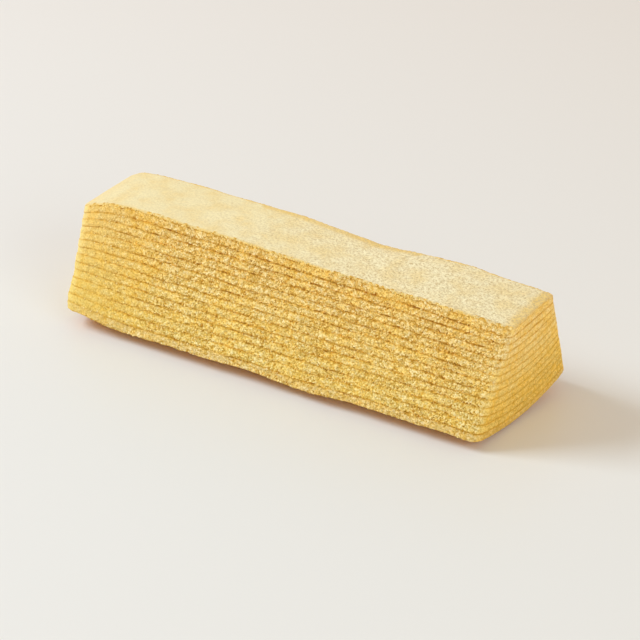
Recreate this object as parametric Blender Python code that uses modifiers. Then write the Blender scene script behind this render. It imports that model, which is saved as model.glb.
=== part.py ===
"""A bar of baumkuchen: a long wedge cut out of a ring cake that was baked layer on layer on a spit.

The bar lies on the outside of the ring, with the wall of the ring's hole on top. Both long sides
are cuts that point at the spit, and both ends are cuts across it, so all fourteen baked layers
show all the way round. Each layer is its own solid, bent round the axis of the spit.

Metres, +Z up. X runs along the bar, Y from its front to its back, and the origin lies under the
middle of the bar, where it rests.
"""
import math

import bmesh
import bpy
from mathutils import Vector

# The ring that the bar is cut from.
RING_OUTER_RADIUS = 0.074
RING_HOLE_RADIUS = 0.037
HALF_ANGLE = math.radians(19.5)
LAYER_COUNT = 14
LAYER_GROWTH = 0.18      # how much thicker the outermost layer is than the innermost
TOP_SKIN = 0.0008        # the pale skin, which makes the first layer that much thicker
GAP = 0.0003             # the baked skin between two layers, left open

# The bar, and how far its cuts stray from square.
LENGTH = 0.148
GIRTH_LEFT = 1.023       # size of the section at each end, against the nominal one
GIRTH_RIGHT = 0.971
LEAN_LEFT = 0.0011       # how far the top stands back from the middle of the underside
LEAN_RIGHT = -0.0017
SWAY_LEFT = -0.0002      # how far the whole section stands back at each end
SWAY_RIGHT = 0.0009
CENTRING = Vector((0.00001, 0.00008, 0.0))   # puts the origin under the middle of the whole bar
# How far each corner of an end lies past the square end, towards +X:
# (lower front, lower back, upper front, upper back).
LEFT_END = (-0.0003, 0.0010, -0.0018, 0.0021)
RIGHT_END = (-0.0060, 0.0018, -0.0004, 0.0009)
END_REACH = 4.0          # power that keeps the skew of the cuts near the ends
# The left end bulges low down, and the lower back corner at the right end is drawn in.
LEFT_BULGE = 0.0009
BULGE_HEIGHT = 0.13      # share of the height, from the underside
BULGE_WIDTH = 0.10
RIGHT_TAPER = 0.0019
# Soft corners: the upper ones at the left droop, and two of the lower ones are rounded up.
DROOP_FRONT = 0.0057
DROOP_BACK = 0.0018
DROOP_REACH = 9.0
LEFT_HEEL_LIFT = 0.0019  # at the front
RIGHT_HEEL_LIFT = 0.0035  # at the back

# The upper face fills up in the middle, so that the hollow of the hole's wall is gone.
CROWN = 0.0025
CROWN_REACH = 3.0        # power that keeps the crown to the uppermost layers
# The upper edges: a front one raised at the left, and a back one that arches and sinks.
FRONT_RISE_LEFT = 0.0015
FRONT_RISE_RIGHT = 0.0003
BACK_ARCH = 0.0011
BACK_DIP = 0.0017
DIP_PLACE = 0.618        # share of the length, from the left
DIP_WIDTH = 0.122

# Unevenness of the pouring: (length along the bar, height, phase) of each wave.
POUR_WAVES = ((0.071, 0.00012, 0.4), (0.033, 0.00008, 2.1), (0.021, 0.00005, 4.0))
POUR_DRIFT = 160.0       # radians of phase for each metre of radius
# How far the rim of a layer stands out or in along the cut: (length, depth, phase).
RIM_WAVES = ((0.043, 0.00014, 1.0), (0.019, 0.00012, 3.2))
RIM_TURN = 2.4           # radians of phase from one layer to the next
# Rise and fall of both lower edges, which the knife left uneven: (length, height, phase).
HEM_WAVES = ((0.060, 0.00036, 3.34), (0.033, 0.00032, 2.50))
HEM_TURN = 2.0           # radians of phase from the front edge to the back one
HEM_REACH = 6.0          # power that keeps the waves to the outermost layers

# Finish of the solids.
CORNER_RADIUS = 0.0036
CORNER_STEPS = 3
RIM_ROUNDING = 0.0004
REST_HALF_WIDTH = 0.0085
CELLS_ALONG = 20
CELLS_ACROSS = 6
SHARP_ANGLE = math.radians(50.0)

TOP_COLOUR = (0.86, 0.72, 0.40, 1.0)
CRUMB_COLOUR = (0.80, 0.54, 0.18, 1.0)
CRUST_COLOUR = (0.76, 0.46, 0.14, 1.0)
ROUGHNESS = 0.85

RING_DEPTH = RING_OUTER_RADIUS - RING_HOLE_RADIUS
REST_HEIGHT = RING_OUTER_RADIUS - math.sqrt(RING_OUTER_RADIUS**2 - REST_HALF_WIDTH**2)


def clear_scene():
    for item in list(bpy.data.objects):
        bpy.data.objects.remove(item, do_unlink=True)


def layer_radii():
    """Radii of the borders between layers, from the hole out: a skin, then evenly growing steps."""
    steps = [1.0 + LAYER_GROWTH * index / (LAYER_COUNT - 1) for index in range(LAYER_COUNT)]
    unit = (RING_DEPTH - TOP_SKIN) / sum(steps)
    radius = RING_HOLE_RADIUS + TOP_SKIN
    radii = [RING_HOLE_RADIUS]
    for step in steps:
        radius += unit * step
        radii.append(radius)
    return radii


def mix(low, high, share):
    return low + (high - low) * share


def corner_blend(corners, across, height):
    """Value between four corners; across and height run from 0 to 1."""
    lower = mix(corners[0], corners[1], across)
    upper = mix(corners[2], corners[3], across)
    return mix(lower, upper, height)


def waves(rows, along, turn):
    """Sum of sines along the bar, with every phase moved on by the same turn."""
    return sum(size * math.sin(math.tau * along / length + phase + turn)
               for length, size, phase in rows)


def bell(value, width):
    """Bell curve: 1 where the value is 0, and 1/e where it is a width away."""
    return math.exp(-((value / width) ** 2))


def upper_lift(along_share, side, across, height):
    """Lift of the upper layers: a sloping front edge, an arched back edge with a dip, a crown."""
    front = mix(FRONT_RISE_LEFT, FRONT_RISE_RIGHT, along_share)
    back = BACK_ARCH * math.sin(math.pi * along_share**2)
    back -= BACK_DIP * bell(along_share - DIP_PLACE, DIP_WIDTH)
    return height * mix(front, back, across) + CROWN * (1.0 - side**2) * height**CROWN_REACH


def hem_lift(along, side, across, height):
    """Lift of the lower edges, which fades out towards the middle and towards the top."""
    hem = waves(HEM_WAVES, along, HEM_TURN * across)
    return abs(side) ** 3 * (1.0 - height) ** HEM_REACH * hem


def bend(point, middle_radius, rim_turn):
    """Carries a point of a flat slab (along, arc length, radius) to its place in the bar.

    The arc length is wound round the spit at the slab's middle radius, the section is scaled,
    leaned and swayed along the bar, the ends are skewed, and the corners and edges get their
    shape. side runs from -1 at the front cut to 1 at the back one, across from 0 to 1, and height
    from 0 at the underside to 1 at the top. The underside is pressed flat where the bar rests.
    """
    along, arc, radius = point
    along_share = along / LENGTH + 0.5
    half_arc = HALF_ANGLE * middle_radius
    side = arc / half_arc
    across = 0.5 + 0.5 * side
    height = (RING_OUTER_RADIUS - radius) / RING_DEPTH

    radius += height * waves(POUR_WAVES, along, POUR_DRIFT * radius)
    arc += side**3 * waves(RIM_WAVES, along, rim_turn + side)
    angle = arc / middle_radius
    girth = mix(GIRTH_LEFT, GIRTH_RIGHT, along_share)
    lean = mix(LEAN_LEFT, LEAN_RIGHT, along_share)
    sway = mix(SWAY_LEFT, SWAY_RIGHT, along_share)

    left_reach = max(0.0, 1.0 - 2.0 * along_share)
    left_share = left_reach**END_REACH
    right_share = max(0.0, 2.0 * along_share - 1.0) ** END_REACH
    x = along + left_share * corner_blend(LEFT_END, across, height)
    x += right_share * corner_blend(RIGHT_END, across, height)
    x -= left_share * LEFT_BULGE * bell(height - BULGE_HEIGHT, BULGE_WIDTH)
    y = girth * radius * math.sin(angle) + lean * height + sway
    y -= right_share * RIGHT_TAPER * across * (1.0 - height)
    z = girth * (RING_OUTER_RADIUS - radius * math.cos(angle))
    z += upper_lift(along_share, side, across, height) + hem_lift(along, side, across, height)
    z += LEFT_HEEL_LIFT * left_share * (1.0 - across) * (1.0 - height)
    z += RIGHT_HEEL_LIFT * right_share * across * (1.0 - height)
    z -= mix(DROOP_FRONT, DROOP_BACK, across) * left_reach**DROOP_REACH * height**2
    return Vector((x, y, max(z, REST_HEIGHT) - REST_HEIGHT)) + CENTRING


def is_upright(edge):
    first, second = edge.verts
    return first.co.xy == second.co.xy


def cut_into_cells(slab, axis, size, count):
    """Cuts the slab across one axis at even steps, so that it can be bent smoothly."""
    for index in range(1, count):
        place = axis * size * (index / count - 0.5)
        geometry = slab.verts[:] + slab.edges[:] + slab.faces[:]
        bmesh.ops.bisect_plane(slab, geom=geometry, plane_co=place, plane_no=axis)


def layer_mesh(name, inner, outer, rim_turn):
    """A slab with rounded upright corners, cut into cells and bent round the spit."""
    middle = 0.5 * (inner + outer)
    width = 2.0 * HALF_ANGLE * middle
    slab = bmesh.new()
    bmesh.ops.create_cube(slab, size=1.0)
    bmesh.ops.scale(slab, vec=(LENGTH, width, outer - inner), verts=slab.verts)
    upright = [edge for edge in slab.edges if is_upright(edge)]
    bmesh.ops.bevel(slab, geom=upright, offset=CORNER_RADIUS, segments=CORNER_STEPS, profile=0.5,
                    affect="EDGES")
    cut_into_cells(slab, Vector((1.0, 0.0, 0.0)), LENGTH, CELLS_ALONG)
    cut_into_cells(slab, Vector((0.0, 1.0, 0.0)), width, CELLS_ACROSS)
    for vertex in slab.verts:
        along, arc, depth = vertex.co
        vertex.co = bend((along, arc, middle - depth), middle, rim_turn)
    bmesh.ops.recalc_face_normals(slab, faces=slab.faces)
    mesh = bpy.data.meshes.new(name)
    slab.to_mesh(mesh)
    slab.free()
    mesh.shade_smooth()
    mesh.set_sharp_from_angle(angle=SHARP_ANGLE)
    return mesh


def baked_material(name, colour):
    material = bpy.data.materials.new(name)
    material.use_nodes = True
    shader = material.node_tree.nodes["Principled BSDF"]
    shader.inputs["Base Color"].default_value = colour
    shader.inputs["Roughness"].default_value = ROUGHNESS
    shader.inputs["Metallic"].default_value = 0.0
    return material


def layer_colour(index):
    """Cream on top, where the cake lay on the spit, and browner towards the outside."""
    if index == 0:
        return TOP_COLOUR
    share = index / (LAYER_COUNT - 1)
    return tuple(mix(low, high, share) for low, high in zip(CRUMB_COLOUR, CRUST_COLOUR))


def build_layer(index, inner, outer, collection):
    """One baked layer, half a gap thinner on each side that meets another layer."""
    name = f"layer_{index + 1:02d}"
    top = inner if index == 0 else inner + 0.5 * GAP
    bottom = outer if index == LAYER_COUNT - 1 else outer - 0.5 * GAP
    layer = bpy.data.objects.new(name, layer_mesh(name, top, bottom, RIM_TURN * index))
    rounding = layer.modifiers.new("rounded rim", "BEVEL")
    rounding.width = RIM_ROUNDING
    rounding.segments = 1
    rounding.limit_method = "ANGLE"
    rounding.angle_limit = SHARP_ANGLE
    layer.data.materials.append(baked_material(name, layer_colour(index)))
    collection.objects.link(layer)


def build_bar():
    collection = bpy.data.collections.new("baumkuchen")
    bpy.context.scene.collection.children.link(collection)
    radii = layer_radii()
    for index in range(LAYER_COUNT):
        build_layer(index, radii[index], radii[index + 1], collection)


clear_scene()
build_bar()
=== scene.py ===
from math import radians, tau

import bmesh
import bpy
import numpy as np
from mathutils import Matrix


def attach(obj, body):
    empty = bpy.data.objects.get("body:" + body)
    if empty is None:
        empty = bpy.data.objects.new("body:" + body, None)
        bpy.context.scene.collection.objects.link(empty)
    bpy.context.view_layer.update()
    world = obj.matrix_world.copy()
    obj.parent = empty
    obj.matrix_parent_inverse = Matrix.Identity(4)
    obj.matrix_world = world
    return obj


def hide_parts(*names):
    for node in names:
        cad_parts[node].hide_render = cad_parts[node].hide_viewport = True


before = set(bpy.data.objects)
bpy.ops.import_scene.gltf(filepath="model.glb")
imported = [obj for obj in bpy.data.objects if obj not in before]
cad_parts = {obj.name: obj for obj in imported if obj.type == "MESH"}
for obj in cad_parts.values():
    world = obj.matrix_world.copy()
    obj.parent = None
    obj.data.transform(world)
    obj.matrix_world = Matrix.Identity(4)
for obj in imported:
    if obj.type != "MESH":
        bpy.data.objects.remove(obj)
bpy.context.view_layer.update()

# ==== Golden coats ====
# Twelve coats of egg batter, each poured over the turning spit and browned before the next one.
# The bar is cut out of that ring, so every coat shows its rim all the way round: open golden
# crumb between thin browned lines, torn rough on the long cuts and cut clean at the ends.

# The ring, in metres as every size here, and the bar that is cut from it.
RING_OUTER_RADIUS = 0.074
RING_HOLE_RADIUS = 0.037
RING_DEPTH = RING_OUTER_RADIUS - RING_HOLE_RADIUS
HALF_ANGLE = radians(19.5)   # at the spit, from the middle of the bar to each long cut
COAT_COUNT = 14
COAT_GROWTH = 0.18           # how much thicker the outermost coat is than the innermost
TOP_SKIN = 0.0008            # the pale skin, which makes the first coat that much thicker
LENGTH = 0.148
# Rounding of the upright edges. The sharper one is for the right end, at the top.
CORNER_RADIUS, SHARP_CORNER = 0.0036, 0.0018

# At each end: the section's size against the nominal one, how far its top stands back from the
# middle of the underside, and how far all of it stands back.
GIRTH_LEFT, GIRTH_RIGHT = 1.023, 0.971
LEAN_LEFT, LEAN_RIGHT = 0.0011, -0.0017
SWAY_LEFT, SWAY_RIGHT = -0.0002, 0.0009
CENTRING = (0.00001, 0.00008)  # puts the origin under the middle of the whole bar
# How far each corner of an end lies past the square end, towards +X:
# (lower front, lower back, upper front, upper back).
LEFT_END = (-0.0003, 0.0010, -0.0018, 0.0021)
RIGHT_END = (-0.0060, 0.0018, -0.0004, 0.0009)
END_REACH = 4.0              # power that keeps the skew of the cuts near the ends
# The left end bulges low down, and the lower back corner at the right end is drawn in.
LEFT_BULGE, BULGE_HEIGHT, BULGE_WIDTH = 0.0009, 0.13, 0.10
RIGHT_TAPER = 0.0019
# Soft corners: the upper ones at the left droop, and two of the lower ones are rounded up.
DROOP_FRONT, DROOP_BACK, DROOP_REACH = 0.0057, 0.0018, 9.0
LEFT_HEEL_LIFT, RIGHT_HEEL_LIFT = 0.0019, 0.0035
# The upper face fills up in the middle. Its front edge is raised at the left, and its back edge
# arches and then sinks.
CROWN, CROWN_REACH = 0.0025, 3.0
FRONT_RISE_LEFT, FRONT_RISE_RIGHT = 0.0015, 0.0003
BACK_ARCH, BACK_DIP, DIP_PLACE, DIP_WIDTH = 0.0011, 0.0017, 0.618, 0.122
REST_HALF_WIDTH = 0.0085     # of the strip that the bar's own weight presses flat
REST_HEIGHT = RING_OUTER_RADIUS - (RING_OUTER_RADIUS**2 - REST_HALF_WIDTH**2) ** 0.5

# Waves as (length, height, phase): of the pouring, of the cut rims and of both lower edges.
POUR_WAVES = ((0.071, 0.00012, 0.4), (0.033, 0.00008, 2.1), (0.021, 0.00005, 4.0))
POUR_DRIFT = 160.0           # radians of phase for each metre of radius
RIM_WAVES = ((0.043, 0.00014, 1.0), (0.019, 0.00012, 3.2))
RIM_TURN = 2.4               # radians of phase from one coat to the next
HEM_WAVES = ((0.060, 0.00036, 3.34), (0.033, 0.00032, 2.50))
HEM_TURN, HEM_REACH = 2.0, 6.0  # phase from front to back, and the power that keeps them low

CUT_INSET = 0.00020          # the crumb lies this far inside the cut on average, and never outside
LINE_WIDTH = 0.00029         # from the middle of a browned line to where it fades
LINE_WANDER = 0.00018        # how far a browned line strays from its ring
# A rim bulges a little between its sunken lines: at the clean ends, and on the torn cuts.
RIM_BULGE, LINE_DEPTH = (0.00003, 0.00008), (0.00007, 0.00018)
# What the crumb tore into: widths along the bar, across it and through the coats.
BIG_SHARD = (0.00112, 0.00100, 0.00086)
SMALL_SHARD = (0.00052, 0.00048, 0.00044)
CLUMP = (0.0034, 0.0030, 0.0026)
CRUMB_SWELL, CRUMB_GRAIN = (0.0042, 0.0038, 0.0024), (0.0008, 0.0007, 0.0006)
# How much the shards slope and stand apart, and how high or deep the waves and the pits are.
BIG_SLOPE, BIG_STEP, SMALL_SLOPE, SMALL_STEP = 0.00024, 0.00013, 0.00026, 0.00017
SWELL_HEIGHT, GRAIN_HEIGHT, PIT_DEPTH = 0.00014, 0.00008, 0.00040
PAINTED_SHADE_RANGE = 0.00052      # relief over which the crumb's painted shade turns to painted light
SHARD_TURN = 0.5             # turns the packing of the shards against the coats, in radians
END_ROUGHNESS = 0.34         # relief of the clean cut ends, against the torn long cuts
SOFT_REACH = 0.0085          # how far the softer crumb of the left end reaches along the bar
CALM_REACH = 0.045           # how far the crumb is calmer from the left end on
CALMING, CALM_SOFTNESS = 0.6, 0.7  # share of its liveliness that calm crumb loses, and how soft it is
COLUMNS_LONG, COLUMNS_CORNER, COLUMNS_END = 820, 18, 140
RIM_ROWS = 19
SHARP_ANGLE = radians(60.0)  # faces that meet at a steeper angle keep a crisp edge
WELD_DISTANCE = 0.000001
ROW_CROWDING = 0.07          # draws the rows of a rim together near both of its browned lines
RIM_TUCK = 0.0018            # how far in the hidden faces lie flat
TO_MIDDLE = 1.0              # an inset larger than any half width, cut back to the middle line

ring_steps = 1.0 + COAT_GROWTH * np.arange(COAT_COUNT) / (COAT_COUNT - 1)
ring_unit = (RING_DEPTH - TOP_SKIN) / ring_steps.sum()
ring_radii = RING_HOLE_RADIUS + np.append(0.0, TOP_SKIN + ring_unit * np.cumsum(ring_steps))


def mix(low, high, share):
    """Straight blend: low at share 0, high at share 1."""
    return low + (high - low) * share


def ease(low, high, value):
    """Smooth step from 0 at low to 1 at high: three squares of the share less two cubes."""
    share = np.clip((value - low) / (high - low), 0.0, 1.0)
    return share * share * (3.0 - 2.0 * share)


def bell(value, width):
    """Bell curve, 1 at value 0: e to the minus square of value over width."""
    return np.exp(-((value / width) ** 2))


def corner_blend(corners, across, height):
    """Blend of four corner values (lower front, lower back, upper front, upper back)."""
    return mix(mix(corners[0], corners[1], across), mix(corners[2], corners[3], across), height)


def waves(rows, along, turn):
    """Sum of sines along the bar: size times the sine of tau times along over length, plus phases."""
    return sum(size * np.sin(tau * along / length + phase + turn) for length, size, phase in rows)


def upper_lift(share, side, across, height):
    """Lift of the upper coats: a sloping front edge and an arched back edge with a dip, blended
    across and growing with the height, and a crown that falls off with the square of the side."""
    front = mix(FRONT_RISE_LEFT, FRONT_RISE_RIGHT, share)
    back = BACK_ARCH * np.sin(np.pi * share**2) - BACK_DIP * bell(share - DIP_PLACE, DIP_WIDTH)
    return height * mix(front, back, across) + CROWN * (1.0 - side**2) * height**CROWN_REACH


def bend(along, arc, radius, rim_turn):
    """Carries flat batter (along, arc length, radius) into the bar, as an array of x, y, z.

    The arc is wound round the spit: y is radius times the sine of arc over radius, and z is what
    its cosine leaves of the outer radius. Then come girth, lean and sway, the lift of the upper
    edges and of the hems, the skew of the ends, the drooping corner and the strip pressed flat.
    """
    share = along / LENGTH + 0.5
    side = arc / (HALF_ANGLE * radius)
    across = 0.5 + 0.5 * side
    height = np.clip((RING_OUTER_RADIUS - radius) / RING_DEPTH, 0.0, 1.1)
    angle = (arc + side**3 * waves(RIM_WAVES, along, rim_turn + side)) / radius
    radius = radius + height * waves(POUR_WAVES, along, POUR_DRIFT * radius)
    girth = mix(GIRTH_LEFT, GIRTH_RIGHT, share)
    lean = mix(LEAN_LEFT, LEAN_RIGHT, share)
    sway = mix(SWAY_LEFT, SWAY_RIGHT, share)
    left_reach = np.clip(1.0 - 2.0 * share, 0.0, None)
    left_share = left_reach**END_REACH
    right_share = np.clip(2.0 * share - 1.0, 0.0, None) ** END_REACH
    low = np.clip(1.0 - height, 0.0, None)

    x = along + left_share * corner_blend(LEFT_END, across, height)
    x += right_share * corner_blend(RIGHT_END, across, height)
    x -= left_share * LEFT_BULGE * bell(height - BULGE_HEIGHT, BULGE_WIDTH)
    y = girth * radius * np.sin(angle) + lean * height + sway
    y -= right_share * RIGHT_TAPER * across * low
    z = girth * (RING_OUTER_RADIUS - radius * np.cos(angle))
    z += upper_lift(share, side, across, height)
    z += np.abs(side) ** 3 * low**HEM_REACH * waves(HEM_WAVES, along, HEM_TURN * across)
    z += LEFT_HEEL_LIFT * left_share * (1.0 - across) * low
    z += RIGHT_HEEL_LIFT * right_share * across * low
    z -= mix(DROOP_FRONT, DROOP_BACK, across) * left_reach**DROOP_REACH * height**2
    z = np.maximum(z, REST_HEIGHT) - REST_HEIGHT
    return np.stack([x + CENTRING[0], y + CENTRING[1], z], axis=-1)


def cell_random(cell, seed):
    """A number from 0 to 1 for each whole-number cell: its three numbers and the seed, each times a
    large odd number, are added up and mixed by shifts, as in a hash. Every pattern on the bar has
    its own seed, so that no two are alike."""
    cell = cell.astype(np.int64).astype(np.uint32)
    mixed = cell[..., 0] * np.uint32(0x9E3779B1) + cell[..., 1] * np.uint32(0x85EBCA77)
    mixed = mixed + cell[..., 2] * np.uint32(0xC2B2AE3D) + np.uint32(seed * 265443577 % 2**32)
    for shift, factor in ((15, 0x2C1B3C6D), (12, 0x297A2D39), (15, 0x165667B1)):
        mixed = (mixed ^ (mixed >> np.uint32(shift))) * np.uint32(factor)
    return (mixed ^ (mixed >> np.uint32(16))) / 2.0**32


def cell_vector(cell, seed):
    """Three such numbers for each cell, side by side."""
    return np.stack([cell_random(cell, seed + 31 * axis) for axis in range(3)], axis=-1)


def soft_noise(place, size, seed):
    """Smooth noise from about -1 to 1 with bumps as wide as size: a random slope at every corner of
    a lattice cell, blended across the cell by six fifth powers, less 15 fourth, plus 10 cubes. The
    blend is stretched by 1.6 to that range."""
    place = place / np.asarray(size)
    base = np.floor(place)
    rest = place - base
    blend = rest**3 * (rest * (rest * 6.0 - 15.0) + 10.0)
    total = 0.0
    for corner in np.ndindex(2, 2, 2):
        share = np.prod(np.where(corner, blend, 1.0 - blend), axis=-1)
        slope = 2.0 * cell_vector(base + corner, seed) - 1.0
        total = total + share * np.sum(slope * (rest - corner), axis=-1)
    return 1.6 * total


def shards(place, size, seed):
    """Packed shards as wide as size, one at a random place in each lattice cell. For each point
    come the distance to the nearest shard's middle in shard widths, that shard's own random number,
    and how far the point rises on the shard's face: its offset times the shard's random slope."""
    place = place / np.asarray(size)
    base = np.floor(place)
    nearest = np.full(base.shape[:-1], np.inf)
    home = base
    offset = base
    for step in np.ndindex(3, 3, 3):
        cell = base + step - 1.0
        away = place - cell - cell_vector(cell, seed)
        distance = np.linalg.norm(away, axis=-1)
        closer = distance < nearest
        nearest = np.where(closer, distance, nearest)
        home = np.where(closer[..., None], cell, home)
        offset = np.where(closer[..., None], away, offset)
    rise = np.sum((2.0 * cell_vector(home, seed + 211) - 1.0) * offset, axis=-1)
    return nearest, cell_random(home, seed + 97), rise


def outline_columns(long_steps, corner_steps, end_steps):
    """Columns once round the bar, seen from above: front, right end, back and left end.

    Each column is a place on the inner rectangle (from -1 to 1 both ways) and the direction out of
    it, which turns by a right angle over each corner. Front and back columns mirror each other.
    """
    quarters = []
    for quarter in range(4):
        steps = end_steps if quarter % 2 else long_steps
        run = np.linspace(-1.0, 1.0, steps, endpoint=False)
        turn = np.linspace(0.0, np.pi / 2.0, corner_steps, endpoint=False)
        middle_u = np.concatenate([run, np.ones(corner_steps)])
        middle_v = -np.ones(steps + corner_steps)
        out_u = np.concatenate([np.zeros(steps), np.sin(turn)])
        out_v = np.concatenate([-np.ones(steps), -np.cos(turn)])
        cos, sin = ((1, 0), (0, 1), (-1, 0), (0, -1))[quarter]
        quarters.append([cos * middle_u - sin * middle_v, sin * middle_u + cos * middle_v,
                         cos * out_u - sin * out_v, sin * out_u + cos * out_v])
    return np.concatenate(quarters, axis=1)


def rounded_rectangle(columns, inset, radius):
    """Flat (along, arc) of each column at an inset from the cuts: half length and half width less
    the inset, with a corner radius that shrinks to nothing where the inset meets the middle. The
    upright edges of the right end are sharper, and sharpest at the top."""
    middle_u, middle_v, out_u, out_v = columns
    half_width = HALF_ANGLE * radius
    inset = np.minimum(inset, half_width)
    right = mix(SHARP_CORNER, CORNER_RADIUS, (radius - RING_HOLE_RADIUS) / RING_DEPTH)
    corner = mix(CORNER_RADIUS, right, 0.5 + 0.5 * middle_u) * (1.0 - inset / half_width)
    along = middle_u * (0.5 * LENGTH - inset - corner) + out_u * corner
    arc = middle_v * (half_width - inset - corner) + out_v * corner
    return along, arc


def border_wander(place, index):
    """How far a border strays from its ring, in metres: not at all at the hole and the outside."""
    if index in (0, COAT_COUNT):
        return np.zeros(place.shape[:-1])
    slow = soft_noise(place, (0.011, 0.009, 1.0), 200 + index)
    quick = soft_noise(place, (0.0034, 0.003, 1.0), 230 + index)
    jagged = soft_noise(place, (0.0011, 0.001, 1.0), 260 + index)
    return LINE_WANDER * (slow + 0.7 * quick + 0.55 * jagged)


def line_strength(place, index, torn):
    """How brown the skin outside a coat is, from 0 to 1: on the torn cuts streaks some millimetres
    long with short scorched dashes, most of them in the upper coats, and at the ends a soft line.
    Every fourth skin was baked more lightly."""
    streaks = soft_noise(place, (0.0075, 0.005, 1.0), 300 + index)
    dashes = soft_noise(place, (0.0019, 0.0015, 1.0), 340 + index)
    baking = 0.78 - 0.18 * np.cos(tau * (index - 3) / 4.0) + 0.20 * bell(index - 1.5, 1.5)
    scorched = ease(0.30, 0.80, dashes + 0.8 * streaks + 0.25 * bell(index - 1.0, 3.5))
    rough = baking * (0.37 + 0.27 * streaks + 0.20 * dashes)
    rough = rough + mix(0.24, 0.48, bell(index - 1.0, 5.0)) * scorched
    clean = mix(0.38, 0.58, index / COAT_COUNT) + 0.14 * bell(index - 1.0, 1.6)
    clean = clean + 0.20 * streaks + 0.12 * dashes
    return np.clip(mix(clean, rough, torn), 0.06, 1.0)


def torn_crumb(place):
    """Relief of torn crumb in metres, with the random number of the shards and the mask of pits.

    Big and small shards, each with its own height and slope, ride on two softer waves. Here and
    there a clump has come away and leaves a pit.
    """
    cos, sin = np.cos(SHARD_TURN), np.sin(SHARD_TURN)
    turned = place @ np.array([(cos, 0.0, sin), (0.0, 1.0, 0.0), (-sin, 0.0, cos)])
    _, big_kind, big_rise = shards(turned, BIG_SHARD, 11)
    _, small_kind, small_rise = shards(turned, SMALL_SHARD, 12)
    clump, clump_kind, _ = shards(place, CLUMP, 13)
    pit = ease(0.80, 0.97, clump_kind) * (1.0 - ease(0.04, 0.28, clump))
    relief = BIG_SLOPE * big_rise + BIG_STEP * (big_kind - 0.5)
    relief += SMALL_SLOPE * small_rise + SMALL_STEP * (small_kind - 0.5)
    relief += SWELL_HEIGHT * soft_noise(place, CRUMB_SWELL, 14)
    relief += GRAIN_HEIGHT * soft_noise(place, CRUMB_GRAIN, 15)
    return relief - PIT_DEPTH * pit, mix(small_kind, big_kind, 0.33), pit


def rim_finish(coat):
    """Finish of a coat's rim: the crumb's relief on a slightly bulging band, sunk along the browned
    lines by a bell curve. The long cuts are calmer and deeper in tone towards the left end. The
    crumb is smoother and yellower round that end, the yellow partly painted light. It is smoother
    and paler on the upright edges, partly with a painted highlight, and on the ends it runs from
    pale high up to deeper golden low down, painted light and shade where they curve under."""
    place, long_cut = coat["place"], coat["long_cut"]
    relief, kind, pit = torn_crumb(place)
    from_left = place[..., 0] + 0.5 * LENGTH
    soft = 1.0 - ease(0.15, 1.0, from_left / SOFT_REACH)
    calm = 1.0 - ease(0.0, 1.0, from_left / CALM_REACH)
    torn = long_cut * (1.0 - soft)
    patch = np.clip(1.0 + 0.9 * soft_noise(place, (0.006, 0.006, 0.006), 16), 0.3, 2.0)
    rough = mix(END_ROUGHNESS * patch, 1.0 - CALMING * calm, torn)
    depth = (place[..., 2] - RING_HOLE_RADIUS) / RING_DEPTH
    # On the clean ends the crumb is painted paler high up and deeper golden low down: painted light and
    # shade. The upright edges are paler, partly smoother crumb and partly a painted highlight.
    shift = (1.0 - long_cut) * mix(0.16, -0.42, ease(0.1, 1.0, depth))
    shift += coat["upright"] * mix(0.42, 0.32, ease(0.8, 1.0, depth)) - 0.25 * calm * torn
    from_inner = coat["share"] * coat["thickness"]
    from_outer = (1.0 - coat["share"]) * coat["thickness"]
    browned = 0.0
    for index, distance in ((coat["index"], from_inner), (coat["index"] + 1, from_outer)):
        if index not in (0, COAT_COUNT):
            browned = browned + line_strength(place, index, torn) * bell(distance, LINE_WIDTH)
    softness = np.maximum(soft, CALM_SOFTNESS * calm)
    browned = browned * mix(1.0, 0.55 + 0.9 * kind, torn) * (1.0 - 0.45 * softness)
    middle = 4.0 * coat["share"] * (1.0 - coat["share"])
    bulge = mix(*RIM_BULGE, torn) * middle
    rise = np.minimum(rough * relief + bulge - browned * mix(*LINE_DEPTH, torn), CUT_INSET)
    # Painted shade and light: the lower the relief, and in the pits, the darker the crumb is painted;
    # raised crumb is painted lighter.
    relief_shade = np.clip(0.42 - rise / PAINTED_SHADE_RANGE + 0.5 * pit, 0.0, 1.0)
    lively = mix(0.45, 1.0 - CALMING * calm, torn)
    masks = {"browned": browned, "relief_shade": mix(0.30, relief_shade, lively),
             "grain_and_light": mix(0.5, kind, lively) + shift + 0.16 * (middle - 0.6),
             "soft": np.maximum(softness, 0.45 * (1.0 - long_cut))}
    return rise, np.zeros_like(rise), masks


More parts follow.
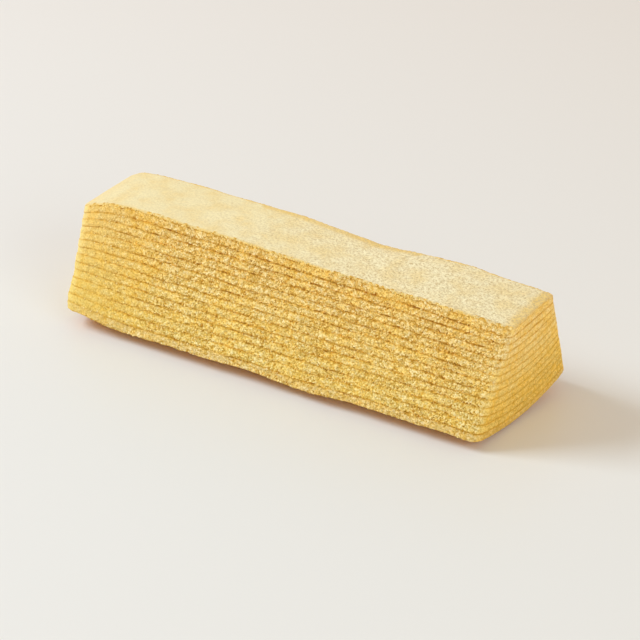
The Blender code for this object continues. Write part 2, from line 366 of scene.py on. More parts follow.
def coat_mesh(name, index, columns, rows, finish):
    """Closed mesh of one coat: rows of columns from its upper middle line, over the rim and back to
    its lower middle line, moved by its finish and bent round the spit.

    Each row is (inset from the cuts, share of the way from the inner to the outer border, weight of
    the relief outwards, weight upwards). The first and last rows are welded into middle lines.
    """
    inset, share, outwards, upwards = (np.asarray(part)[:, None] for part in zip(*rows))
    inner, outer = ring_radii[index], ring_radii[index + 1]
    radius = mix(inner, outer, share) + 0.0 * columns[0]
    along, arc = rounded_rectangle(columns, inset, radius)
    flat = np.stack([along, arc, radius], axis=-1)
    radius = radius + mix(border_wander(flat, index), border_wander(flat, index + 1), share)
    coat = {"index": index, "thickness": outer - inner, "share": share + 0.0 * radius,
            "inset": inset + 0.0 * radius, "place": np.stack([along, arc, radius], axis=-1),
            "long_cut": ease(0.45, 0.97, np.abs(columns[3])) + 0.0 * radius,
            "upright": 2.0 * np.abs(columns[2] * columns[3]) + 0.0 * radius}
    rise_out, rise_up, masks = finish(coat)
    along = along + columns[2] * rise_out * outwards
    arc = arc + columns[3] * rise_out * outwards
    points = bend(along, arc, radius - rise_up * upwards, RIM_TURN * index)

    row_count, column_count = radius.shape
    start = (np.arange(row_count - 1) * column_count)[:, None]
    column = np.arange(column_count)
    following = (column + 1) % column_count
    faces = np.stack([start + column, start + column_count + column,
                      start + column_count + following, start + following], axis=-1)
    mesh = bpy.data.meshes.new(name)
    mesh.from_pydata(points.reshape(-1, 3), [], faces.reshape(-1, 4))
    write_masks(mesh, masks)
    weld_middle_lines(mesh, column_count)
    mesh.shade_smooth()
    mesh.set_sharp_from_angle(angle=SHARP_ANGLE)
    return mesh


def write_masks(mesh, masks):
    """Keeps each mask, a value from 0 to 1 for every point, as an attribute that materials read."""
    for mask, values in masks.items():
        attribute = mesh.attributes.new(mask, "FLOAT", "POINT")
        attribute.data.foreach_set("value", np.clip(values, 0.0, 1.0).astype(np.float32).ravel())


def weld_middle_lines(mesh, column_count):
    """Joins the front half of the first and last rows to the back half, point to mirrored point."""
    shell = bmesh.new()
    shell.from_mesh(mesh)
    shell.verts.ensure_lookup_table()
    ends = shell.verts[:column_count] + shell.verts[-column_count:]
    bmesh.ops.remove_doubles(shell, verts=ends, dist=WELD_DISTANCE)
    shell.to_mesh(mesh)
    shell.free()


def add_node(tree, kind, links=(), **values):
    """A shader node of one kind, with inputs linked from sockets and other inputs or settings set."""
    node = tree.nodes.new(kind)
    for key, value in values.items():
        if key in node.inputs:
            node.inputs[key].default_value = value
        else:
            setattr(node, key, value)
    for key, socket in dict(links).items():
        tree.links.new(socket, node.inputs[key])
    return node


def blend_colours(tree, low, high, share, mode="MIX"):
    """Colour between two colour sockets by a share, a socket or a number."""
    node = tree.nodes.new("ShaderNodeMix")
    node.data_type = "RGBA"
    node.blend_type = mode
    node.inputs[0].default_value = 1.0
    for place, socket in ((0, share), (6, low), (7, high)):
        if isinstance(socket, float):
            node.inputs[place].default_value = socket
        else:
            tree.links.new(socket, node.inputs[place])
    return node.outputs[2]


def arithmetic(tree, operation, first, second, clamp=False):
    """One sum or product of two sockets or numbers."""
    node = tree.nodes.new("ShaderNodeMath")
    node.operation = operation
    node.use_clamp = clamp
    for place, value in ((0, first), (1, second)):
        if isinstance(value, (int, float)):
            node.inputs[place].default_value = value
        else:
            tree.links.new(value, node.inputs[place])
    return node.outputs[0]


def fade(tree, value, low, high, to_low=0.0, to_high=1.0):
    """Socket that runs from one level where the value is low to another where it is high."""
    node = add_node(tree, "ShaderNodeMapRange", {"Value": value},
                    **{"From Min": low, "From Max": high, "To Min": to_low, "To Max": to_high})
    return node.outputs[0]


def weighted_sum(tree, base, parts):
    """Base plus each part's socket times its weight."""
    total = base
    for socket, weight in parts:
        total = arithmetic(tree, "ADD", total, arithmetic(tree, "MULTIPLY", socket, weight))
    return total


def noise(tree, place, scale, detail, roughness):
    """Socket of a cloudy pattern with as many bumps for each metre as its scale says."""
    return add_node(tree, "ShaderNodeTexNoise", place, Scale=scale, Detail=detail,
                    Roughness=roughness).outputs["Fac"]


def colour_sockets(tree, colours):
    """A socket for each of some fixed colours that are blended later."""
    sockets = [add_node(tree, "ShaderNodeRGB").outputs[0] for _ in colours]
    for socket, colour in zip(sockets, colours):
        socket.default_value = (*colour, 1.0)
    return sockets


def crumb_group():
    """Node group of baked crumb. Its tone, from mottling, shards and the painted relief shade (shade
    in hollows, light on raised crumb), runs from deep over golden to pale. Patches are fresher or
    warmer, small flecks carry painted glints and shade that make them lighter or darker, the
    browned lines run from skin to scorched, and the softer crumb is calmer and yellow, a yellow
    that is partly painted light."""
    tree = bpy.data.node_groups.new("baked crumb", "ShaderNodeTree")
    sockets = (("INPUT", "Vector", ("Place",)),
               ("INPUT", "Float", ("Grain_and_light", "Relief_shade", "Browned", "Softness")),
               ("INPUT", "Color", tuple(UPPER_CRUMB)),
               ("OUTPUT", "Color", ("Color",)), ("OUTPUT", "Float", ("Roughness", "Height")))
    for direction, kind, names in sockets:
        for name in names:
            tree.interface.new_socket(name, in_out=direction, socket_type="NodeSocket" + kind)
    given = tree.nodes.new("NodeGroupInput").outputs
    result = tree.nodes.new("NodeGroupOutput")

    place = {"Vector": given["Place"]}
    fine = noise(tree, place, 2800.0, 2.0, 0.6)
    middling = noise(tree, place, 1150.0, 2.0, 0.5)
    patchy = noise(tree, place, 420.0, 2.0, 0.5)
    broad = noise(tree, place, 90.0, 1.0, 0.5)
    flecks = add_node(tree, "ShaderNodeTexVoronoi", place, Scale=2200.0).outputs["Color"]
    lively = fade(tree, given["Softness"], 0.0, 1.0, 1.0, 0.3)
    mottling = weighted_sum(tree, -1.55, ((fine, 0.7), (flecks, 0.5), (middling, 0.9), (patchy, 0.5),
                                          (broad, 0.5)))
    mottling = arithmetic(tree, "MULTIPLY", mottling, lively)
    # The relief shade paints shade into hollows and light onto raised crumb.
    tone = weighted_sum(tree, 0.35, ((mottling, 1.0), (given["Grain_and_light"], 0.65), (given["Relief_shade"], -0.60)))
    colour = blend_colours(tree, given["Deep"], given["Golden"], fade(tree, tone, -0.15, 0.42))
    colour = blend_colours(tree, colour, given["Pale"], fade(tree, tone, 0.42, 0.95))
    warmth = weighted_sum(tree, 0.0, ((patchy, 0.6), (broad, 0.4)))
    hue = blend_colours(tree, given["Fresh"], given["Warm"], fade(tree, warmth, 0.40, 0.61))
    colour = blend_colours(tree, colour, hue, 1.0, "MULTIPLY")
    # Yellow round the softer left end: partly painted light, where the key light falls on that end.
    colour = blend_colours(tree, colour, given["Lit_yellow"], fade(tree, given["Softness"], 0.55, 1.2))
    stain = arithmetic(tree, "MULTIPLY", given["Browned"], arithmetic(tree, "ADD", middling, 0.45))
    colour = blend_colours(tree, colour, given["Skin"], fade(tree, stain, 0.05, 0.55))
    colour = blend_colours(tree, colour, given["Scorched"], fade(tree, stain, 0.45, 1.0))
    # Painted glints and shade: small flecks and fine noise make the crumb a little lighter or darker.
    fleck_glint = arithmetic(tree, "ADD", fade(tree, flecks, 0.25, 0.75, -0.16, 0.10),
                         fade(tree, fine, 0.3, 0.7, -0.12, 0.13))
    light = arithmetic(tree, "ADD", arithmetic(tree, "MULTIPLY", fleck_glint, lively), 1.0)
    colour = blend_colours(tree, colour, light, 1.0, "MULTIPLY")
    height = weighted_sum(tree, 0.0, ((fine, 0.9), (middling, 0.8), (flecks, 0.5)))
    for name, socket in (("Color", colour), ("Height", height),
                         ("Roughness", fade(tree, fine, 0.3, 0.7, 0.7, 0.95))):
        tree.links.new(socket, result.inputs[name])
    return tree


def baked_material(name, colours):
    """Matt cake crumb: the shared crumb group, fed by a coat's masks, on one rough shader."""
    material = bpy.data.materials.new(name)
    material.use_nodes = True
    tree = material.node_tree
    shader = tree.nodes["Principled BSDF"]
    shader.inputs["Specular IOR Level"].default_value = CRUMB_GLOSS
    group = tree.nodes.new("ShaderNodeGroup")
    group.node_tree = crumb
    for key, colour in colours.items():
        group.inputs[key].default_value = (*colour, 1.0)
    place = tree.nodes.new("ShaderNodeTexCoord")
    tree.links.new(place.outputs["Object"], group.inputs["Place"])
    for key, mask in (("Grain_and_light", "grain_and_light"), ("Relief_shade", "relief_shade"), ("Browned", "browned"),
                      ("Softness", "soft")):
        attribute = add_node(tree, "ShaderNodeAttribute", attribute_name=mask)
        tree.links.new(attribute.outputs["Fac"], group.inputs[key])
    bump = add_node(tree, "ShaderNodeBump", {"Height": group.outputs["Height"]},
                    Strength=BUMP_STRENGTH, Distance=BUMP_DEPTH)
    tree.links.new(bump.outputs["Normal"], shader.inputs["Normal"])
    tree.links.new(group.outputs["Color"], shader.inputs["Base Color"])
    tree.links.new(group.outputs["Roughness"], shader.inputs["Roughness"])
    return material


def lay_over(tree, colour, mask):
    """Lays a colour over the material's own one, as far as a mask says."""
    base = tree.nodes["Principled BSDF"].inputs["Base Color"]
    tree.links.new(blend_colours(tree, base.links[0].from_socket, colour, mask), base)


def add_piece(name, mesh, material, node):
    """Puts a finished mesh in the scene in place of its solid, riding on the bar's one body."""
    piece = bpy.data.objects.new(name, mesh)
    bpy.context.scene.collection.objects.link(piece)
    mesh.materials.append(material)
    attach(piece, "root")
    if node:
        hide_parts(node)


CRUMB_GLOSS = 0.25           # specular level of the dry crumb
BUMP_STRENGTH, BUMP_DEPTH = 0.8, 0.00014
# Colours of the crumb in the uppermost coat and in the outermost one. The coats between them are
# blends. Fresh and Warm are tints that the others are multiplied by. Deep is also the colour of the
# painted shade in hollows, and Pale of the painted light on raised crumb.
# Lit_yellow, used round the left end, is partly painted light.
UPPER_CRUMB = {"Deep": (0.67, 0.36, 0.040), "Golden": (0.89, 0.61, 0.162), "Pale": (1.0, 0.81, 0.38),
               "Fresh": (1.0, 1.02, 1.20), "Warm": (0.99, 0.87, 0.56), "Skin": (0.68, 0.36, 0.040),
               "Scorched": (0.38, 0.135, 0.014), "Lit_yellow": (0.95, 0.77, 0.32)}
LOWER_CRUMB = {"Deep": (0.69, 0.40, 0.038), "Golden": (0.90, 0.65, 0.158), "Pale": (1.0, 0.84, 0.38),
               "Fresh": (0.99, 1.03, 1.16), "Warm": (0.99, 0.90, 0.60), "Skin": (0.70, 0.39, 0.038),
               "Scorched": (0.44, 0.18, 0.016), "Lit_yellow": (0.93, 0.70, 0.17)}

crumb = crumb_group()
round_columns = outline_columns(COLUMNS_LONG, COLUMNS_CORNER, COLUMNS_END)
row_steps = np.linspace(0.0, 1.0, RIM_ROWS)
rim_shares = row_steps - ROW_CROWDING * np.sin(tau * row_steps)
rim_rows = [(CUT_INSET, share, 1.0, 0.0) for share in rim_shares]
upper_face = [(TO_MIDDLE, 0.0, 0.0, 0.0), (RIM_TUCK, 0.0, 0.0, 0.0)]
lower_face = [(RIM_TUCK, 1.0, 0.0, 0.0), (TO_MIDDLE, 1.0, 0.0, 0.0)]


def coat_colours(index):
    """Colours of a coat's crumb, from the browner upper ones to the yellower lower ones."""
    share = index / (COAT_COUNT - 1)
    return {key: tuple(mix(np.array(UPPER_CRUMB[key]), np.array(LOWER_CRUMB[key]), share))
            for key in UPPER_CRUMB}


for index in range(1, COAT_COUNT - 1):
    name = f"golden_coat_{index + 1:02d}"
    mesh = coat_mesh(name, index, round_columns, upper_face + rim_rows + lower_face, rim_finish)
    material = baked_material(name, coat_colours(index))
    add_piece(name, mesh, material, f"layer_{index + 1:02d}")

# ==== Uppermost coat ====
# The first coat on the spit. Its inner face was baked against the spit, so it came off as a pale,
# matt, finely pitted skin, golden along its edges and a little sunk along one diagonal crease.

TOP_EDGE_ROUNDING = 0.0007
SKIN_INSET = 0.00016         # the skin lies this far inside the top on average, and never outside
TOP_FACE_ROWS = 40
EDGE_STEPS = 5
FACE_COLUMNS = (620, 18, 90)  # along a long cut, round a corner and along an end, below a whole face
ROW_CLEARANCE = 0.02         # least share of a rim between its rounded edge and the next row
LEFT_CURL, CURL_REACH = 0.00055, 0.0045  # how far the skin curls down over the left end, and from where
CURL_PALE = 1.6              # how far the pale skin reaches down there, against the curl
# The ragged seam where the skin ends: its depth on the rim and how much that varies, how sharp it
# is, and the golden line under it.
SEAM_DEPTH, SEAM_RAGGED, SEAM_SLOW, SEAM_LUMP = 0.00042, 0.00024, 0.00016, 0.0009
SEAM_SOFTNESS, SEAM_GOLD_DEPTH, SEAM_GOLD_WIDTH = 0.00010, 0.00030, 0.00024
LUMP_HEIGHT = 0.00012
# Shapes in the skin: widths along the bar, across it and downwards.
SKIN_PIT, SKIN_DIMPLE = (0.0016, 0.0014, 0.01), (0.00085, 0.00075, 0.01)
SKIN_WRINKLE = (0.0011, 0.0009, 0.01)
BROAD_SWELL, NARROW_SWELL = (0.013, 0.009, 0.05), (0.005, 0.004, 0.05)
WORN_SPAN = (-0.045, 0.035)  # where along the bar the skin goes from smooth to worn
# Heights and depths in the skin. Where two are given, they are for smooth skin and for worn skin.
SKIN_SWELL_HEIGHT, DIMPLE_DEPTH = 0.00014, 0.00020
WRINKLE_HEIGHT, SKIN_PIT_DEPTH = (0.00003, 0.00016), (0.00012, 0.00030)
# The golden rims of the skin: how far each reaches in from its edge.
BACK_BAND, BACK_BAND_ENDS = 0.0038, 0.0013
BAND_START, BAND_END = -0.021, 0.033     # where the wide part of the back band lies along the bar
RIGHT_BAND, LEFT_BAND, FRONT_BAND = 0.0042, 0.0070, 0.0009
CREASE_START, CREASE_END = (0.012, 0.0066), (0.030, -0.0074)
CREASE_WIDTH, CREASE_DEPTH = 0.0012, 0.00022


def rounded_edge_rows(radius, steps, thickness):
    """Rows of a quarter round from the top face to the rim: insets by one less the sine, depths by
    one less the cosine."""
    turns = np.linspace(0.0, np.pi / 2.0, steps + 1)
    return [(CUT_INSET + radius * (1.0 - np.sin(turn)), radius * (1.0 - np.cos(turn)) / thickness,
             np.sin(turn), np.cos(turn)) for turn in turns]


def crease_mask(place):
    """1 along the crease, falling off sideways by a bell curve and fading at both of its ends."""
    start, end = np.array(CREASE_START), np.array(CREASE_END)
    run = end - start
    run_length = np.linalg.norm(run)
    offset = place[..., :2] - start
    along_run = offset @ run / run_length
    aside = (offset[..., 0] * run[1] - offset[..., 1] * run[0]) / run_length
    aside = aside + 0.0012 * soft_noise(place, (0.008, 0.008, 1.0), 46)
    fading = ease(0.0, 0.005, along_run) * (1.0 - ease(run_length - 0.006, run_length, along_run))
    return bell(aside, CREASE_WIDTH) * fading


def spit_skin_relief(place):
    """Relief of the pale skin in metres: shallow swells, and fine wrinkles and small round pits
    that are stronger towards the right end. With it come the pits, the dimples and the wear."""
    pit, pit_kind, _ = shards(place, SKIN_PIT, 41)
    dimple, dimple_kind, _ = shards(place, SKIN_DIMPLE, 42)
    worn = ease(*WORN_SPAN, place[..., 0] + 0.012 * soft_noise(place, (0.02, 0.012, 1.0), 47))
    wrinkle = soft_noise(place, SKIN_WRINKLE, 43)
    swell = soft_noise(place, BROAD_SWELL, 44) + 0.6 * soft_noise(place, NARROW_SWELL, 45)
    pits = ease(mix(0.72, 0.45, worn), 0.95, pit_kind) * (1.0 - ease(0.0, 0.28, pit))
    dimples = ease(0.2, 0.9, dimple_kind) * (1.0 - ease(0.05, 0.42, dimple)) * mix(0.25, 1.0, worn)
    relief = SKIN_SWELL_HEIGHT * swell + mix(*WRINKLE_HEIGHT, worn) * wrinkle
    relief -= mix(*SKIN_PIT_DEPTH, worn) * pits + DIMPLE_DEPTH * dimples
    return relief - CREASE_DEPTH * crease_mask(place), pits, dimples, worn


def golden_rims(place, slow):
    """How golden the skin is, from 0 to 1: most at each edge and fading where its band ends. The
    back band is wide along the middle of the bar, and the left one is faint but the widest."""
    along, arc = place[..., 0], place[..., 1]
    half_width = HALF_ANGLE * RING_HOLE_RADIUS
    middle = ease(BAND_START - 0.004, BAND_START, along) * (1.0 - ease(BAND_END - 0.003, BAND_END, along))
    bands = ((half_width - arc, mix(BACK_BAND_ENDS, BACK_BAND, middle), 0.85),
             (half_width + arc, FRONT_BAND, 0.75),
             (0.5 * LENGTH - along, RIGHT_BAND, 0.8 + 0.4 * ease(0.0, half_width, arc)),
             (0.5 * LENGTH + along, LEFT_BAND, 0.25))
    golden = 0.0
    for distance, reach, strength in bands:
        reach = reach * (1.0 + 0.35 * slow)
        golden = np.maximum(golden, strength * (1.0 - ease(0.45 * reach, 1.1 * reach, distance)))
    return golden


def top_finish(coat):
    """Finish of the uppermost coat: torn rim below, pale skin above, with a ragged golden seam. At
    the left end the skin curls down over the edge."""
    place = coat["place"]
    curl = LEFT_CURL * (1.0 - ease(0.0, CURL_REACH, place[..., 0] + 0.5 * LENGTH))
    rise_out, _, masks = rim_finish(coat)
    relief, pits, dimples, worn = spit_skin_relief(place)
    depth = coat["share"] * coat["thickness"]
    ragged = soft_noise(place, (0.0012, 0.0012, 0.01), 51)
    slow = soft_noise(place, (0.006, 0.006, 0.02), 52)
    _, lump_kind, _ = shards(place, (0.0010, 0.0009, 0.01), 53)
    lumps = ease(0.62, 0.8, lump_kind) * coat["long_cut"] * (1.0 - ease(0.0002, 0.0014, coat["inset"]))
    seam_depth = SEAM_DEPTH + SEAM_RAGGED * ragged + SEAM_SLOW * slow
    seam_depth = seam_depth - SEAM_LUMP * lumps + CURL_PALE * curl
    pale = 1.0 - ease(-SEAM_SOFTNESS, SEAM_SOFTNESS, depth - seam_depth)
    seam = bell(depth - seam_depth - SEAM_GOLD_DEPTH, SEAM_GOLD_WIDTH) * mix(0.35, 0.9, coat["long_cut"])
    masks["pale_skin"] = pale
    masks["gold_edge"] = golden_rims(place, slow)
    masks["worn"] = worn
    masks["browned"] = masks["browned"] + seam * (1.0 - pale) * (0.7 + 0.5 * ragged)
    # On the skin the relief shade is painted shade in its pits and dimples.
    masks["relief_shade"] = mix(masks["relief_shade"], np.clip(0.9 * pits + 0.7 * dimples, 0.0, 1.0), pale)
    lumpy = LUMP_HEIGHT * (1.0 - pale) * (lumps > 0.2)
    rise_up = np.minimum(relief + lumpy, SKIN_INSET) - SKIN_INSET - curl
    return rise_out * (1.0 - 0.6 * pale), rise_up, masks


def skin_material(name, colours, skin_colours):
    """The crumb material of the rim, with the pale skin laid over it where the mask says so: whiter
    where it is worn, golden along its edges, finely speckled with painted shade and painted
    highlights, and darker in its pits and dimples with painted shade."""
    material = baked_material(name, colours)
    tree = material.node_tree
    masks = {mask: add_node(tree, "ShaderNodeAttribute", attribute_name=mask).outputs["Fac"]
             for mask in ("pale_skin", "gold_edge", "relief_shade", "worn")}
    place = {"Vector": tree.nodes.new("ShaderNodeTexCoord").outputs["Object"]}
    suede = noise(tree, place, 1500.0, 3.0, 0.65)
    cloud = noise(tree, place, 150.0, 2.0, 0.5)
    tones = dict(zip(skin_colours, colour_sockets(tree, skin_colours.values())))
    colour = blend_colours(tree, tones["pale"], tones["worn"], masks["worn"])
    cloudy = fade(tree, cloud, 0.42, 0.68, 0.0, 0.45)
    gold = arithmetic(tree, "ADD", masks["gold_edge"], cloudy, clamp=True)
    colour = blend_colours(tree, colour, tones["gold"], gold)
    # Painted shade: the skin darkens towards the pit colour where its fine speckle pattern is low, more
    # where it is worn, and in its pits and dimples.
    speck_shade = arithmetic(tree, "MULTIPLY", fade(tree, suede, 0.54, 0.30, 0.0, 1.0),
                          fade(tree, masks["worn"], 0.0, 1.0, 0.2, 1.1))
    pit_shade = arithmetic(tree, "ADD", speck_shade, arithmetic(tree, "MULTIPLY", masks["relief_shade"], 0.85),
                        clamp=True)
    colour = blend_colours(tree, colour, tones["pit"], pit_shade)
    # Painted highlights: the skin is up to 9 % lighter where its fine speckle pattern is high.
    light = fade(tree, suede, 0.46, 0.70, 1.0, 1.09)
    colour = blend_colours(tree, colour, light, 1.0, "MULTIPLY")
    lay_over(tree, colour, masks["pale_skin"])
    return material


# The pit colour is painted shade, in the pits and dimples and in the fine specks.
SKIN_COLOURS = {"pale": (0.87, 0.75, 0.43), "worn": (0.91, 0.80, 0.50), "gold": (0.84, 0.60, 0.21),
                "pit": (0.64, 0.48, 0.24)}

top_thickness = ring_radii[1] - ring_radii[0]
top_half_width = HALF_ANGLE * ring_radii[0]
top_face = [(inset, 0.0, 0.0, 1.0) for inset in np.linspace(top_half_width, CUT_INSET
            + TOP_EDGE_ROUNDING, TOP_FACE_ROWS, endpoint=False)]
top_edge = rounded_edge_rows(TOP_EDGE_ROUNDING, EDGE_STEPS, top_thickness)
top_rim = [row for row in rim_rows if row[1] > top_edge[-1][1] + ROW_CLEARANCE]
top_columns = outline_columns(*FACE_COLUMNS)
top_mesh = coat_mesh("top_coat", 0, top_columns, top_face + top_edge + top_rim + lower_face, top_finish)
top_material = skin_material("top_coat", coat_colours(0), SKIN_COLOURS)
add_piece("top_coat", top_mesh, top_material, "layer_01")

# ==== Outermost coat ====
# The last coat on the ring, now the underside: its outer face is browned, smooth and a little
# wrinkled, its crumb is a little duller than in the coats above, and its lower edges are ragged
# where the knife came through.

BOTTOM_EDGE_ROUNDING = 0.0006
UNDERSIDE_ROWS = 34
# Raggedness of the lower edges: outwards, in the depth of their notches, and downwards.
HEM_RAGGED, HEM_NOTCH, HEM_DROP = 0.00018, 0.0003, 0.00035
UNDERSIDE_WRINKLE = 0.00005
OUTER_CRUMB = {"Golden": (0.84, 0.60, 0.18), "Pale": (0.95, 0.75, 0.36)}
CRUST_BROWN, CRUST_GOLD = (0.84, 0.33, 0.022), (0.92, 0.48, 0.055)


def bottom_finish(coat):
    """Finish of the outermost coat: a crumbly rim, a ragged lower edge, a wrinkled underside."""
    place = coat["place"]
    rise_out, _, masks = rim_finish(coat)
    ragged = soft_noise(place, (0.0021, 0.0021, 0.004), 61)
    notch, notch_kind, _ = shards(place, (0.0032, 0.0032, 0.01), 62)
    near_edge = ease(0.55, 1.0, coat["share"]) * (1.0 - ease(0.0, 0.003, coat["inset"]))
    notches = ease(0.6, 0.9, notch_kind) * (1.0 - ease(0.1, 0.4, notch))
    rise_out = np.minimum(rise_out + near_edge * (HEM_RAGGED * ragged - HEM_NOTCH * notches), CUT_INSET)
    wrinkle = soft_noise(place, (0.0030, 0.0012, 0.01), 63)
    rise_up = UNDERSIDE_WRINKLE * wrinkle + near_edge * HEM_DROP * ragged
    masks["crust"] = ease(0.93, 1.0, coat["share"]) * ease(0.0001, 0.0010, coat["inset"] + 0.0003 * ragged)
    return rise_out, rise_up, masks


def crust_material(name, colours, brown, gold):
    """The crumb material of the rim, with the browned crust laid over it underneath, cloudy from
    brown to golden."""
    material = baked_material(name, colours)
    tree = material.node_tree
    crust = add_node(tree, "ShaderNodeAttribute", attribute_name="crust").outputs["Fac"]
    place = {"Vector": tree.nodes.new("ShaderNodeTexCoord").outputs["Object"]}
    cloud = noise(tree, place, 240.0, 4.0, 0.6)
    brown, gold = colour_sockets(tree, (brown, gold))
    colour = blend_colours(tree, brown, gold, fade(tree, cloud, 0.38, 0.66))
    lay_over(tree, colour, crust)
    return material


bottom_thickness = ring_radii[-1] - ring_radii[-2]
bottom_half_width = HALF_ANGLE * ring_radii[-1]
bottom_edge = [(inset, 1.0 - share, outwards, upwards) for inset, share, outwards, upwards
               in reversed(rounded_edge_rows(BOTTOM_EDGE_ROUNDING, EDGE_STEPS, bottom_thickness))]
bottom_rim = [row for row in rim_rows if row[1] < bottom_edge[0][1] - ROW_CLEARANCE]
underside = [(inset, 1.0, 0.0, 1.0) for inset in np.linspace(CUT_INSET + BOTTOM_EDGE_ROUNDING,
             bottom_half_width, UNDERSIDE_ROWS + 1)[1:]]
bottom_mesh = coat_mesh("outer_coat", COAT_COUNT - 1, top_columns,
                        upper_face + bottom_rim + bottom_edge + underside, bottom_finish)
bottom_colours = coat_colours(COAT_COUNT - 1) | OUTER_CRUMB
bottom_material = crust_material("outer_coat", bottom_colours, CRUST_BROWN, CRUST_GOLD)
add_piece("outer_coat", bottom_mesh, bottom_material, "layer_14")

# ==== Crumbs ====
# Small lumps of crumb that the knife tore loose. They stick to the long cuts, and sit thickest
# along the upper and lower edges of the front, where they break up the browned lines.

CRUMBS_ON_CUTS, CRUMBS_ON_EDGES = 3600, 420
CRUMB_SIDES, CRUMB_BANDS = 7, 4
CRUMB_END_GAP = 0.006        # the ends of the bar are bare
CRUMB_EDGE_GAP = 0.0016      # from the evenly spread crumbs to the upper and lower edges
# The crumbs along the edges: how close they come, and how far they scatter at the top and below.
CLOSEST_CRUMB, TOP_SCATTER, BOTTOM_SCATTER = 0.0003, 0.0006, 0.0004
SMALLEST_CRUMB, CRUMB_SPREAD = 0.00016, 0.00020
SMALL_FAVOUR = 2.2           # power that makes small crumbs the more common ones
CRUMB_SINK = 0.00016         # how deep a crumb may sit in the cut
CRUMB_SEED = 14


def crumb_shell():
    """Points and triangles of a coarse ball: rings at even heights of angle between two poles."""
    heights = np.linspace(0.0, np.pi, CRUMB_BANDS + 1)[1:-1]
    turns = np.arange(CRUMB_SIDES) * tau / CRUMB_SIDES
    height, turn = np.meshgrid(heights, turns, indexing="ij")
    rings = np.stack([np.sin(height) * np.cos(turn), np.sin(height) * np.sin(turn), np.cos(height)],
                     axis=-1).reshape(-1, 3)
    points = np.concatenate([[(0.0, 0.0, 1.0)], rings, [(0.0, 0.0, -1.0)]])
    side = np.arange(CRUMB_SIDES)
    following = (side + 1) % CRUMB_SIDES
    faces = [np.stack([0 * side, 1 + side, 1 + following], axis=-1)]
    for band in range(CRUMB_BANDS - 2):
        upper, lower = 1 + band * CRUMB_SIDES, 1 + (band + 1) * CRUMB_SIDES
        faces.append(np.stack([upper + side, lower + side, lower + following], axis=-1))
        faces.append(np.stack([upper + side, lower + following, upper + following], axis=-1))
    last = 1 + (CRUMB_BANDS - 2) * CRUMB_SIDES
    faces.append(np.stack([last + side, 0 * side + len(points) - 1, last + following], axis=-1))
    return points, np.concatenate(faces)


def random_turns(draw, count):
    """Rotation matrices from random unit quaternions."""
    quaternions = draw.normal(size=(4, count))
    w, x, y, z = quaternions / np.linalg.norm(quaternions, axis=0)
    return np.stack([1 - 2 * (y * y + z * z), 2 * (x * y - z * w), 2 * (x * z + y * w),
                     2 * (x * y + z * w), 1 - 2 * (x * x + z * z), 2 * (y * z - x * w),
                     2 * (x * z - y * w), 2 * (y * z + x * w), 1 - 2 * (x * x + y * y)],
                    axis=-1).reshape(-1, 3, 3)


def crumb_places(draw):
    """Flat places (along, side, radius) of all crumbs: even over both cuts, then near the edges of
    the front one."""
    count = CRUMBS_ON_CUTS + CRUMBS_ON_EDGES * 2
    edge = np.arange(count) - CRUMBS_ON_CUTS
    along = draw.uniform(-0.5, 0.5, count) * (LENGTH - 2.0 * CRUMB_END_GAP)
    side = np.where((draw.uniform(size=count) < 0.5) | (edge >= 0), -1.0, 1.0)
    radius = draw.uniform(RING_HOLE_RADIUS + CRUMB_EDGE_GAP, RING_OUTER_RADIUS - CRUMB_EDGE_GAP, count)
    near_top = RING_HOLE_RADIUS + CLOSEST_CRUMB + np.abs(draw.normal(0.0, TOP_SCATTER, count))
    near_bottom = RING_OUTER_RADIUS - CLOSEST_CRUMB - np.abs(draw.normal(0.0, BOTTOM_SCATTER, count))
    radius = np.where(edge >= 0, np.where(edge % 2, near_top, near_bottom), radius)
    return along, side, radius


draw = np.random.default_rng(CRUMB_SEED)
ball, ball_faces = crumb_shell()
along, side, radius = crumb_places(draw)
crumb_count = len(along)
size = SMALLEST_CRUMB + CRUMB_SPREAD * draw.uniform(size=crumb_count) ** SMALL_FAVOUR
stretch = draw.uniform(0.7, 1.35, (crumb_count, 1, 3))
bumps = soft_noise(ball[None] + 9.0 * draw.uniform(size=(crumb_count, 1, 3)), 0.9, 71)
lumps = ball * stretch * (1.0 + 0.35 * bumps[..., None]) * size[:, None, None]
lumps = np.einsum("nij,npj->npi", random_turns(draw, crumb_count), lumps)
arc = side * (HALF_ANGLE * radius - CUT_INSET - draw.uniform(0.0, CRUMB_SINK, crumb_count))
middles = bend(along, arc, radius, 0.0)
crumb_points = middles[:, None] + lumps
crumb_faces = ball_faces + (np.arange(crumb_count) * len(ball))[:, None, None]
crumb_mesh = bpy.data.meshes.new("crumbs")
crumb_mesh.from_pydata(crumb_points.reshape(-1, 3), [], crumb_faces.reshape(-1, 3))
crumb_mesh.shade_smooth()
# Each crumb gets a random tone and a little random painted shade of its own.
tones = {"grain_and_light": draw.uniform(0.35, 1.0, crumb_count), "relief_shade": draw.uniform(0.0, 0.35, crumb_count),
         "browned": np.where(draw.uniform(size=crumb_count) < 0.08, 0.6, 0.0),
         "soft": np.zeros(crumb_count)}
write_masks(crumb_mesh, {mask: np.repeat(values, len(ball)) for mask, values in tones.items()})
crumb_material = baked_material("crumbs", coat_colours(COAT_COUNT // 2))
add_piece("crumbs", crumb_mesh, crumb_material, None)

# ==== Floor, light and camera ====
# A plain pale floor, a soft key light high on the left, a weaker one in front on the right, a
# studio that is brighter behind the bar, and the camera at the angle of the photograph.

FLOOR_HALF_SIZE = 3.0
FLOOR_COLOUR = (0.80, 0.785, 0.74)
FLOOR_ROUGHNESS, FLOOR_GLOSS = 0.35, 0.4

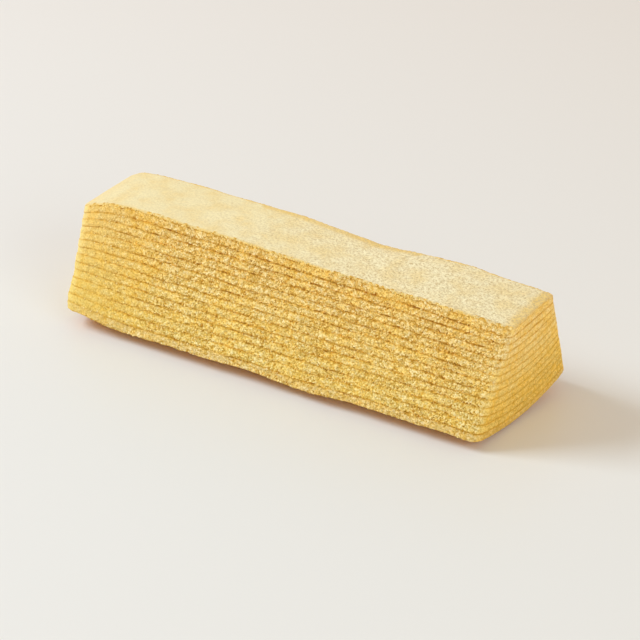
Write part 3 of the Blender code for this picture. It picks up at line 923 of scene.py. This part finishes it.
floor_mesh = bpy.data.meshes.new("floor")
floor_corners = [(-1, -1), (1, -1), (1, 1), (-1, 1)]
floor_mesh.from_pydata([(FLOOR_HALF_SIZE * u, FLOOR_HALF_SIZE * v, 0.0) for u, v in floor_corners],
                       [], [(0, 1, 2, 3)])
floor = bpy.data.objects.new("floor", floor_mesh)
bpy.context.scene.collection.objects.link(floor)
floor_material = bpy.data.materials.new("floor")
floor_material.use_nodes = True
floor_shader = floor_material.node_tree.nodes["Principled BSDF"]
floor_shader.inputs["Base Color"].default_value = (*FLOOR_COLOUR, 1.0)
floor_shader.inputs["Roughness"].default_value = FLOOR_ROUGHNESS
floor_shader.inputs["Specular IOR Level"].default_value = FLOOR_GLOSS
floor_mesh.materials.append(floor_material)

WORLD_LIGHT = 0.51
LOW_LIGHT, HIGH_LIGHT = (1.90, 0.92, 0.28), (1.09, 1.0, 0.90)  # colour near the floor and overhead
LOW_REACH = 0.6              # share of the way up to the zenith where the low light has faded
LIGHT_IN_FRONT, LIGHT_BEHIND = 0.75, 1.25  # share of WORLD_LIGHT from in front of the bar and behind it
# Power in watts, colour, width and place of the large soft lights.
SOFT_LIGHTS = {"key": (14.2, (0.82, 1.0, 1.19), 0.60, (-1.02, -0.42, 0.98)),
               "fill": (5.9, (0.80, 1.0, 1.06), 0.9, (1.10, -0.50, 0.60))}

world = bpy.data.worlds.new("studio")
world.use_nodes = True
studio = world.node_tree
heading = add_node(studio, "ShaderNodeSeparateXYZ",
                   {"Vector": studio.nodes.new("ShaderNodeTexCoord").outputs["Generated"]})
low, high = colour_sockets(studio, (LOW_LIGHT, HIGH_LIGHT))
sky = blend_colours(studio, low, high, fade(studio, heading.outputs["Z"], 0.0, LOW_REACH))
strength = fade(studio, heading.outputs["Y"], -1.0, 1.0, WORLD_LIGHT * LIGHT_IN_FRONT,
                WORLD_LIGHT * LIGHT_BEHIND)
studio.links.new(sky, studio.nodes["Background"].inputs["Color"])
studio.links.new(strength, studio.nodes["Background"].inputs["Strength"])
bpy.context.scene.world = world

for name, (power, colour, size, place) in SOFT_LIGHTS.items():
    light = bpy.data.objects.new(name, bpy.data.lights.new(name, "AREA"))
    light.data.shape = "SQUARE"
    light.data.size = size
    light.data.energy = power
    light.data.color = colour
    light.location = place
    light.rotation_euler = (-light.location).to_track_quat("-Z", "Y").to_euler()
    bpy.context.scene.collection.objects.link(light)

LENS, SENSOR = 120.0, 36.0   # millimetres
CAMERA_PITCH, CAMERA_TURN = 59.0, 30.71  # degrees, up from straight down and round the upright axis
CAMERA_PLACE = (0.28541, -0.47452, 0.3443)
NEAREST_SEEN, FARTHEST_SEEN = 0.01, 20.0

camera = bpy.data.objects.new("camera", bpy.data.cameras.new("camera"))
camera.data.lens = LENS
camera.data.sensor_width = SENSOR
camera.rotation_euler = (radians(CAMERA_PITCH), 0.0, radians(CAMERA_TURN))
camera.location = CAMERA_PLACE
camera.data.clip_start, camera.data.clip_end = NEAREST_SEEN, FARTHEST_SEEN
bpy.context.scene.collection.objects.link(camera)
bpy.context.scene.camera = camera
bpy.context.scene.view_settings.view_transform = "Standard"
